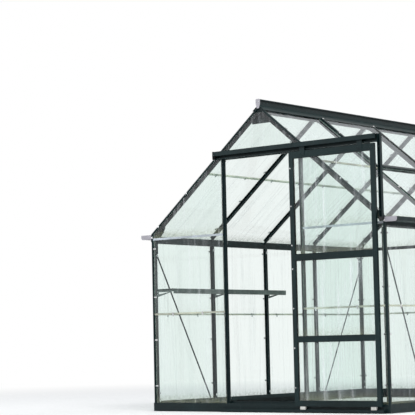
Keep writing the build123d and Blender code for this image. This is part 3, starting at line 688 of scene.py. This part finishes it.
def wall_clips():
    """Clips on the walls' bars and at the corners. The door posts have none."""
    b = Build()
    for foot, across, out in bar_spots():
        if out.y < 0:
            continue
        for z in CLIP_HEIGHTS:
            spring_clip(b, foot + UP * z, across, UP, out)
    for sx in (-1, 1):
        for sy, wall in GABLES:
            for z in CLIP_HEIGHTS:
                on_gable = Vector((sx * HALF, wall, z))
                spring_clip(b, on_gable, ACROSS, UP, ALONG * sy, one_side=-sx)
                on_side = Vector((sx * SIDE, wall - sy * PLANE_OUT, z))
                spring_clip(b, on_side, ALONG, UP, ACROSS * sx, one_side=-sy)
    piece("wall_glazing_clips", b, "spring")


def roof_clips():
    """Broad clips on the roof's bars and rafters, with none beside the vent."""
    b = Build()
    vent_bars = (VENT_BAY, VENT_BAY + 1)
    for sign in (-1, 1):
        for i in range(BAYS + 1):
            one_side = {0: 1, BAYS: -1}.get(i, 0)
            for s in CLIP_SLOPES:
                if sign > 0 and i in vent_bars and s < VENT_FOOT:
                    continue
                spring_clip(b, slope(sign, s, 0, bar_y(i)), ALONG, slope_up(sign), slope_out(sign),
                            one_side=one_side, broad=1.7, arch=0.0016)
    piece("roof_glazing_clips", b, "spring")


def lap_clips():
    """Flat clips at the laps, which step from the lower pane's face round the upper pane's foot onto it."""
    b = Build()
    reach, half_wide, thick = 0.0130, 0.0065, 0.00035
    low, high = 0.00365, 0.00865
    step, bend = -0.00205, 0.0005
    path = [(-reach, low), (step - bend, low), (step, low + bend), (step, high - bend), (step + bend, high),
            (reach, high)]

    def clip(foot, up, out):
        folded_strip(b, path, [half_wide] * len(path), thick, foot, up, out, up.cross(out))

    for mid, up, out, on_roof in lap_spots():
        for off in LAP_CLIP_OFF:
            clip(mid + ALONG * off, up, out)
    for x in LAP_CLIP_X:
        for end, wall in GABLES:
            clip(Vector((x, wall, UP_FOOT)), UP, ALONG * end)
    piece("lap_clips", b, "spring")


def strip_section(reach):
    """An angle round a pane's foot, in (up, out) points. reach is how far it covers the pane."""
    foot_outer, foot_inner = -0.0016, -0.0004
    low = GLASS + SEAT
    face_outer, face_inner = 0.0078, 0.0069
    return [(foot_outer, low), (foot_outer, face_outer), (reach, 0.0074), (reach, 0.0068),
            (foot_inner, face_inner), (foot_inner, low)]


def lap_strips():
    """Pale edge strip on the lower edge of each upper pane."""
    b = Build()
    wall_reach, roof_reach = 0.010, 0.015
    side_half = BAY / 2 - 0.0056
    gable_gap = 0.0055

    def strip(mid, across, up, out, half, reach):
        flat = [up * px + out * py for px, py in strip_section(reach)]
        b.prism(flat, (mid - across * half, mid + across * half))

    for mid, up, out, on_roof in lap_spots():
        strip(mid, ALONG, up, out, side_half, roof_reach if on_roof else wall_reach)
    bay_mid, bay_half = (HALF + POST) / 2, (HALF - POST) / 2
    for x in (-bay_mid, bay_mid):
        for end, wall in GABLES:
            strip(Vector((x, wall, UP_FOOT)), ACROSS, UP, ALONG * end, bay_half - gable_gap, wall_reach)
    strip(Vector((0, BACK, UP_FOOT)), ACROSS, UP, ALONG, POST - gable_gap, wall_reach)
    piece("lap_strips", b, "lap")


# Seals and tape

def glazing_seals():
    """Black seal along both edges of each bar's flange, seen through the glass."""
    b = Build()
    near, far = BAR_HALF + 0.0001, 0.0150
    lip = [(near, -0.0026), (far, -0.0014), (far, -0.0003), (near, -0.0003)]
    low, side_high, gable_high = 0.0685, 1.136, POST_TOP - 0.058
    roof_top, vent_foot, roof_foot = 0.060, 0.640, 1.195
    for foot, across, out in bar_spots():
        high = gable_high if out.y else side_high
        for side in (-1, 1):
            if is_doorway(foot, out, side):
                continue
            flat = [across * (side * px) + out * py for px, py in lip]
            b.prism(flat, (foot + UP * low, foot + UP * high))
    for sign in (-1, 1):
        out = slope_out(sign)
        for i in range(1, BAYS):
            for side in (-1, 1):
                top = vent_foot if is_vent(sign, i if side > 0 else i - 1) else roof_top
                flat = [ALONG * (side * px) + out * py for px, py in lip]
                b.prism(flat, [slope(sign, s, 0, bar_y(i)) for s in (top, roof_foot)])
    piece("glazing_seals", b, "rubber")


TAPE_HALF_THICK = 0.00005
TAPE_SHORT = 0.0002
TAPE_BAR = BAR_HALF - TAPE_SHORT
TAPE_LEG = LEG - TAPE_SHORT
CROSS_BAR_TAPE = 0.0120
NOSE_UNDER = 0.0045


def tape(b, rings, out):
    """A band between two lines, given as pairs of points, with half its thickness on each side."""
    thin = out * TAPE_HALF_THICK
    b.loft([[p - thin, p + thin, q + thin, q - thin] for p, q in rings])


def upright_tape(b, foot, across, out, far, z0, z1):
    """Tape on an upright flange, from the panes' edge to far from the bar's middle."""
    p, q = foot + across * INSET, foot + across * far
    tape(b, [(p + UP * z, q + UP * z) for z in (z0, z1)], out)


def bar_tape(b):
    """Tape on the flanges of the walls' bars."""
    for foot, across, out in bar_spots():
        for side in (-1, 1):
            if is_doorway(foot, out, side):
                continue
            upright_tape(b, foot, across * side, out, TAPE_BAR, LEDGE, LOW_PANE_TOP)
            if out.y:
                start = TOP_FOOT if out.y < 0 else TOP_FOOT + CROSS_BAR_TAPE + TAPE_SHORT
                upright_tape(b, foot, across * side, out, TAPE_BAR, start, POST_TOP - RAFTER / COS)


def under_rafter(sx, wall, x, head=None):
    """The upper and lower edge of a rafter's tape at x.

    head is the upper edge's height where it doesn't lie under the rafter's nose.
    """
    z = APEX - x * TAN
    if head is None:
        head = z - NOSE_UNDER / COS
    foot = z - (RAFTER - TAPE_SHORT) / COS
    return Vector((sx * x, wall, head)), Vector((sx * x, wall, foot))


def gable_tape(b):
    """Tape on the corner posts, under the rafters and on the back gable's cross bars."""
    crown_under = 0.036
    crown_end = (crown_under - NOSE_UNDER / COS) / TAN
    ridge_gap = 0.0001
    for sx in (-1, 1):
        for sy, wall in GABLES:
            out = ALONG * sy
            upright_tape(b, Vector((sx * HALF, wall, 0)), ACROSS * -sx, out, TAPE_LEG, LEDGE, LOW_PANE_TOP)
            side_foot = Vector((sx * SIDE, wall - sy * PLANE_OUT, 0))
            upright_tape(b, side_foot, ALONG * -sy, ACROSS * sx, TAPE_LEG, LEDGE, LOW_PANE_TOP)
            tape(b, [under_rafter(sx, wall, x) for x in (POST + INSET, HALF - INSET)], out)
            if sy < 0:
                crown = under_rafter(sx, wall, ridge_gap, head=APEX - crown_under)
                tape(b, [crown] + [under_rafter(sx, wall, x) for x in (crown_end, POST - INSET)], out)
    for x0, x1 in ((-HALF, -POST), (-POST, POST), (POST, HALF)):
        ends = [Vector((x, BACK, TOP_FOOT)) for x in (x0 + INSET, x1 - INSET)]
        tape(b, [(p, p + UP * CROSS_BAR_TAPE) for p in ends], ALONG)


def roof_tape(b):
    """Tape on the flanges of the roof's bars and rafters, under the lower panes."""
    top = ROOF_UP_END - PANE_LAP
    bar_end = (SIDE - 0.002) / COS - TAPE_SHORT
    rafter_end = (HALF + 0.0017) / COS - TAPE_SHORT
    for sign in (-1, 1):
        for i in range(BAYS + 1):
            is_rafter = i in (0, BAYS)
            far = TAPE_LEG if is_rafter else TAPE_BAR
            end = rafter_end if is_rafter else bar_end
            for side in (-1, 1):
                if i + side in (-1, BAYS + 1):
                    continue
                near_y, far_y = bar_y(i) + side * INSET, bar_y(i) + side * far
                tape(b, [(slope(sign, s, 0, near_y), slope(sign, s, 0, far_y)) for s in (top, end)],
                     slope_out(sign))


def glazing_tape():
    """Thin rubber tape that the straight panes are bedded on, pressed between the glass and the frame."""
    b = Build()
    bar_tape(b)
    gable_tape(b)
    roof_tape(b)
    piece("glazing_tape", b, "tape")


# Bolts and screws of the frame

def frame_bolts():
    """Nuts on the bars' bolt channels, on the gussets, at the ridge and at the sills."""
    b = Build()
    channel = BAR_IN + SEAT
    for foot, across, out in bar_spots():
        heights = [0.088, 1.110]
        if out.y:
            heights.append(POST_TOP - 0.065)
        for z in heights:
            b.bolt(foot - out * channel + UP * z, -out)
    for sign in (-1, 1):
        for i in range(1, BAYS):
            for s in (0.045, 1.170):
                b.bolt(slope(sign, s, -channel, bar_y(i)), -slope_out(sign))
    gusset = ((0.932, 1.076), (0.932, 1.108), (0.905, 1.190), (0.875, 1.213))
    ridge = [(x, APEX - x * TAN - 0.022) for x in (0.020, 0.058)]
    plate_in = 0.0190 + SEAT
    for end in (-1, 1):
        for sign in (-1, 1):
            for x, z in (*gusset, *ridge):
                b.bolt((sign * x, MID + end * (HALF_LENGTH - plate_in), z), (0, -end, 0))
    piece("frame_bolts", b, "steel")


def rafter_bolts():
    """Bright bolt heads on the rafters' and the posts' outer faces."""
    b = Build()
    face_out = 0.0141
    for end in (-1, 1):
        y = MID + end * (HALF_LENGTH + face_out)
        for sign in (-1, 1):
            for s in (0.492, 0.819, 1.150):
                b.dome(slope(sign, s, 0.002, y), (0, end, 0))
            b.dome((sign * 0.948, y, 1.176), (0, end, 0))
    piece("rafter_bolts", b, "steel")


def sill_bolts():
    """Bolts that join each post to the sills' upstands."""
    b = Build()
    x = HALF - LEG - SEAT
    for sign in (-1, 1):
        for end in (-1, 1):
            for z in (0.080, 0.120):
                b.bolt((sign * x, MID + end * (HALF_LENGTH - 0.009), z), (-sign, 0, 0), size=0.008)
    piece("sill_bolts", b, "steel")


def track_screws():
    """Painted screws along the track's lip and down the upright that carries its free end."""
    b = Build()
    for x in (-0.345, -0.05, 0.29, 0.62, 0.913):
        b.pan_head((x, FRONT - TRACK_OUT - HEAD_GAP, TRACK + 0.015), (0, -1, 0), radius=0.0048)
    for z in (1.24, 1.45, 1.63):
        b.pan_head((SUPPORT_X, FRONT - RIB - 2 * SUPPORT_HALF - SEAT, z), (0, -1, 0), radius=0.0046)
    piece("track_screws", b, "frame")


def track_plugs():
    """Plugs in the left end of the track and in the foot of its upright."""
    b = Build()
    b.run(box_section(-0.027, 0.027, 0.006, 0.052, cut=0.003), (TRACK_LEFT - 0.0025, FRONT, TRACK),
          (TRACK_LEFT - SEAT, FRONT, TRACK), (0, -1, 0))
    y = FRONT - RIB - SUPPORT_HALF
    half, low, high = 0.0125, 1.1755, 1.1966
    b.run(box_section(-half, half, -half, half, cut=0.002), (SUPPORT_X, y, low), (SUPPORT_X, y, high),
          (0, -1, 0))
    piece("track_plugs", b, "rubber")


def brace_bolts():
    """Nuts at both ends of each wind brace. shares are their places along it, from the foot to the head."""
    b = Build()
    x = SIDE - BAR_IN - 0.0021
    foot_z = LEDGE + 0.005
    shares = (0.012, 0.988)
    for sign, foot in BRACE_FEET:
        rise = math.sqrt(BRACE_LONG ** 2 - foot ** 2)
        for end in (-1, 1):
            for share in shares:
                y = MID + end * (HALF_LENGTH - foot * (1 - share))
                b.bolt((sign * x, y, foot_z + rise * share), (-sign, 0, 0), size=0.0085)
    piece("brace_bolts", b, "steel")


def ridge_cap_screws():
    """Two screws in each end cap of the ridge."""
    b = Build()
    for end in (-1, 1):
        y = MID + end * (HALF_LENGTH + RIDGE_OVER + RIDGE_CAP)
        for x in (-0.009, 0.009):
            b.pan_head((x, y, RIDGE_TOP - 0.017), (0, end, 0), radius=0.0040)
    piece("ridge_cap_screws", b, "steel")


# Door

BRUSH_X = DOOR_HALF - 0.006
BRUSH_Y = DOOR_Y + DOOR_HALF_DEEP + SEAT
BRUSH_Z = (DOOR_LOW + 0.005, DOOR_TOP - 0.005)
HEAD_BRUSH_Y = DOOR_Y + 0.004
TUFT_PITCH = 0.0044
TUFT_LONG = 0.0038
TUFT_LEAN = 0.0006


def door_brush_backs():
    """Backs of the brushes on the stiles' inner faces and on the door's head."""
    b = Build()
    low, high = BRUSH_Z
    for sign in (-1, 1):
        x = DOOR_X + sign * BRUSH_X
        b.run(box_section(-0.003, 0.003, 0, 0.0012), (x, BRUSH_Y, low), (x, BRUSH_Y, high), (0, 1, 0))
    reach = DOOR_HALF - 0.034
    b.run(box_section(-0.0040, 0.0040, 0, 0.0012), (DOOR_X - reach, HEAD_BRUSH_Y, DOOR_TOP),
          (DOOR_X + reach, HEAD_BRUSH_Y, DOOR_TOP), (0, 0, 1))
    piece("door_brush_backs", b, "rubber", "door")


def door_brush_pile():
    """Tufts of the brushes. Each leans a little, and they aren't all the same length."""
    b = Build()
    root = 0.0010
    low, high = BRUSH_Z
    for sign in (-1, 1):
        x = DOOR_X + sign * BRUSH_X
        z = low
        while z < high:
            lean = random.uniform(-TUFT_LEAN, TUFT_LEAN)
            deep = random.uniform(0.0042, 0.0052)
            foot = box_section(-0.0016, 0.0016, 0, TUFT_LONG)
            tip = box_section(-0.0010, 0.0010, 0.0004, TUFT_LONG - 0.0002)
            b.loft([[(x + px, BRUSH_Y + root, z + pz) for px, pz in foot],
                    [(x + px + lean, BRUSH_Y + deep, z + pz) for px, pz in tip]])
            z += TUFT_PITCH
    x = DOOR_X - DOOR_HALF + 0.036
    while x < DOOR_X + DOOR_HALF - 0.038:
        lean = random.uniform(-TUFT_LEAN, TUFT_LEAN)
        high = random.uniform(0.0040, 0.0047)
        foot = box_section(0, TUFT_LONG, -0.0020, 0.0020)
        tip = box_section(0.0004, TUFT_LONG - 0.0004, -0.0012, 0.0012)
        b.loft([[(x + px, HEAD_BRUSH_Y + py, DOOR_TOP + root) for px, py in foot],
                [(x + px, HEAD_BRUSH_Y + py + lean, DOOR_TOP + high) for px, py in tip]])
        x += TUFT_PITCH
    piece("door_brush_pile", b, "brush", "door")


def door_edge_screws():
    """Bright screws down the left stile."""
    b = Build()
    for z in (1.548, 1.306, 1.056, 0.906, 0.656, 0.406, 0.156):
        b.pan_head((DOOR_X - DOOR_HALF + 0.011, DOOR_FACE - HEAD_GAP, z), (0, -1, 0), radius=0.0050)
    piece("door_edge_screws", b, "steel", "door")


def door_screws():
    """Painted screws where the rails meet the stiles, and two in each hanger."""
    b = Build()
    for sign in (-1, 1):
        x = DOOR_X + sign * (DOOR_HALF - STILE / 2)
        for z in RAIL_MIDS:
            for d in (-0.010, 0.010):
                b.pan_head((x, DOOR_FACE - HEAD_GAP, z + d), (0, -1, 0))
        x = DOOR_X + sign * WHEEL_X
        for d in (-0.012, 0.012):
            b.pan_head((x + d, DOOR_FACE - 0.0011, DOOR_TOP - 0.018), (0, -1, 0), radius=0.0040)
    piece("door_screws", b, "door", "door")


def door_glass_seals():
    """A seal round each of the door's panes, on both faces."""
    b = Build()
    half_wide = 0.0011
    corner = 2 * half_wide + SEAT
    section = box_section(-half_wide, half_wide, 0.0016, 0.0048, cut=0.0005)
    half = DOOR_HALF - STILE
    for low, high in DOOR_SPANS:
        for out in ((0, -1, 0), (0, 1, 0)):
            for z in (low + half_wide, high - half_wide):
                b.run(section, (DOOR_X - half, DOOR_Y, z), (DOOR_X + half, DOOR_Y, z), out)
            for sx in (-1, 1):
                x = DOOR_X + sx * (half - half_wide)
                b.run(section, (x, DOOR_Y, low + corner), (x, DOOR_Y, high - corner), out)
    piece("door_glass_seals", b, "rubber", "door")


# Vent and shelf

VENT_Y = Y0 + BAY * (VENT_BAY + 0.5)


def vent_screws():
    """Domed bolts down the vent's sides and a screw at each lower corner."""
    b = Build()
    face = RIB + 0.0111
    for side in (-1, 1):
        y = VENT_Y + side * (VENT_HALF - 0.010)
        for s in (VENT_TOP + 0.010, 0.235):
            b.dome(slope(1, s, face, y), slope_out(1))
        b.pan_head(slope(1, VENT_FOOT - 0.010, face, y), slope_out(1), radius=0.0040)
    piece("vent_screws", b, "steel")


def vent_glass_seal():
    """The seal that runs round the vent's pane, inside its frame."""
    b = Build()
    rail = 0.0212
    half_wide = 0.0010
    out = slope_out(1)
    section = box_section(-half_wide, half_wide, 0.0152, 0.0186)
    ends = (VENT_TOP + rail, VENT_FOOT - rail)
    for side in (-1, 1):
        y = VENT_Y + side * (VENT_HALF - rail)
        b.prism([ALONG * d + out * w for d, w in section], [slope(1, s, 0, y) for s in ends])
    half = VENT_HALF - rail - half_wide
    for s in ends:
        flat = [-slope_up(1) * d + out * w for d, w in section]
        b.prism(flat, [slope(1, s, 0, y) for y in (VENT_Y - half, VENT_Y + half)])
    piece("vent_glass_seal", b, "rubber")


def shelf_rivets():
    """Rivets that hold the brackets to the bars and the slats to the brackets."""
    b = Build()
    slat = (SHELF_DEEP - (SLATS - 1) * SLAT_GAP) / SLATS
    bracket_x, bracket_face = -0.915, 0.0009
    # The slats start at the first bracket, so its rivets stand a little further in.
    first_rivet = Y0 + 0.008
    for i in SHELF_BARS:
        y = bar_y(i)
        for below in (0.030, 0.010):
            b.pan_head((bracket_x, y - bracket_face, SHELF_Z - below), (0, -1, 0), radius=0.0036)
        for k in range(SLATS):
            x = SHELF_LEFT + k * (slat + SLAT_GAP) + slat / 2
            b.pan_head((x, max(y, first_rivet), SHELF_TOP + HEAD_GAP), (0, 0, 1), radius=0.0038)
    piece("shelf_rivets", b, "steel")


# Floor and light

FLOOR_HALF = 30.0
FLOOR_DROP = 0.001
FADE_FROM, FADE_TO = 3.0, 9.0
LAMP_SIZE = 4.0
LAMPS = (("key_lamp", (5.0, -5.0, 7.0), 470.0, 0.9),
         ("left_lamp", (-6.0, -5.5, 6.0), 240.0, 0.9),
         ("back_lamp", (2.5, 6.5, 6.0), 180.0, 1.2))


def seen_rays(tree):
    """A value of 1 for rays from the camera and those that gloss or glass sends on, and 0 for the rest."""
    rays = tree.nodes.new("ShaderNodeLightPath").outputs
    seen = rays["Is Camera Ray"]
    for name in ("Is Glossy Ray", "Is Transmission Ray"):
        either = tree.nodes.new("ShaderNodeMath")
        either.operation = "MAXIMUM"
        tree.links.new(seen, either.inputs[0])
        tree.links.new(rays[name], either.inputs[1])
        seen = either.outputs[0]
    return seen


def make_floor():
    """A plain pale floor that fades to white far from the greenhouse."""
    square = box_section(-FLOOR_HALF, FLOOR_HALF, -FLOOR_HALF, FLOOR_HALF)
    corners = [(x, y, -FLOOR_DROP) for x, y in square]
    mesh = bpy.data.meshes.new("floor")
    mesh.from_pydata(corners, [], [(0, 1, 2, 3)])
    floor = bpy.data.objects.new("floor", mesh)
    scene.collection.objects.link(floor)
    g = Graph("floor")
    cloud = g.color(g.noise(3.0, detail=4.0), (0.76, 0.76, 0.755), (0.80, 0.80, 0.795))
    grain = g.bump(g.noise(240.0, detail=3.0), distance=0.0005, strength=0.3)
    ground = g.shader("ShaderNodeBsdfPrincipled", Base_Color=cloud, Roughness=0.9, Specular_IOR_Level=0.1,
                      Normal=grain)
    far = g.tree.nodes.new("ShaderNodeVectorMath")
    far.operation = "LENGTH"
    g.put(far.inputs[0], g.where)
    fade = g.times(g.spread(far.outputs["Value"], low=FADE_FROM, high=FADE_TO), seen_rays(g.tree))
    white = g.shader("ShaderNodeEmission", Color=(1.0, 1.0, 1.0), Strength=1.0)
    mesh.materials.append(g.end(g.blend(fade, ground, white)))


def make_world():
    """Soft pale light from all round, and plain white where the camera, gloss or glass looks."""
    world = bpy.data.worlds.new("world")
    scene.world = world
    world.use_nodes = True
    tree = world.node_tree
    tree.nodes.clear()
    mix = tree.nodes.new("ShaderNodeMixShader")
    tree.links.new(seen_rays(tree), mix.inputs[0])
    for socket, color, strength in ((mix.inputs[1], (0.93, 0.96, 1.0, 1.0), 0.75),
                                    (mix.inputs[2], (1.0, 1.0, 1.0, 1.0), 1.0)):
        background = tree.nodes.new("ShaderNodeBackground")
        background.inputs["Color"].default_value = color
        background.inputs["Strength"].default_value = strength
        tree.links.new(background.outputs[0], socket)
    end = tree.nodes.new("ShaderNodeOutputWorld")
    tree.links.new(mix.outputs[0], end.inputs["Surface"])


def make_lamps():
    """Three large lamps, each turned to the middle of the greenhouse at its own height."""
    for name, place, watts, aim_z in LAMPS:
        lamp = bpy.data.lights.new(name, "AREA")
        lamp.energy = watts
        lamp.size = LAMP_SIZE
        obj = bpy.data.objects.new(name, lamp)
        obj.location = place
        obj.rotation_euler = (UP * aim_z - Vector(place)).to_track_quat("-Z", "Y").to_euler()
        scene.collection.objects.link(obj)
        # Seen in the roof's panes at a low angle, the back lamp would blot out the glass.
        obj.visible_glossy = name != "back_lamp"


# The scene

set_camera()
scene.view_settings.view_transform = "Standard"
MAT = {**solid_materials(), **glass_materials()}
for node_name, node_obj in NODES.items():
    node_obj.data.materials.clear()
    node_obj.data.materials.append(MAT[node_material(node_name)])

wall_clips()
roof_clips()
lap_clips()
lap_strips()
glazing_seals()
glazing_tape()
frame_bolts()
rafter_bolts()
sill_bolts()
track_screws()
track_plugs()
door_brush_backs()
door_brush_pile()
door_edge_screws()
door_screws()
door_glass_seals()
vent_screws()
vent_glass_seal()
brace_bolts()
shelf_rivets()
ridge_cap_screws()
make_floor()
make_world()
make_lamps()
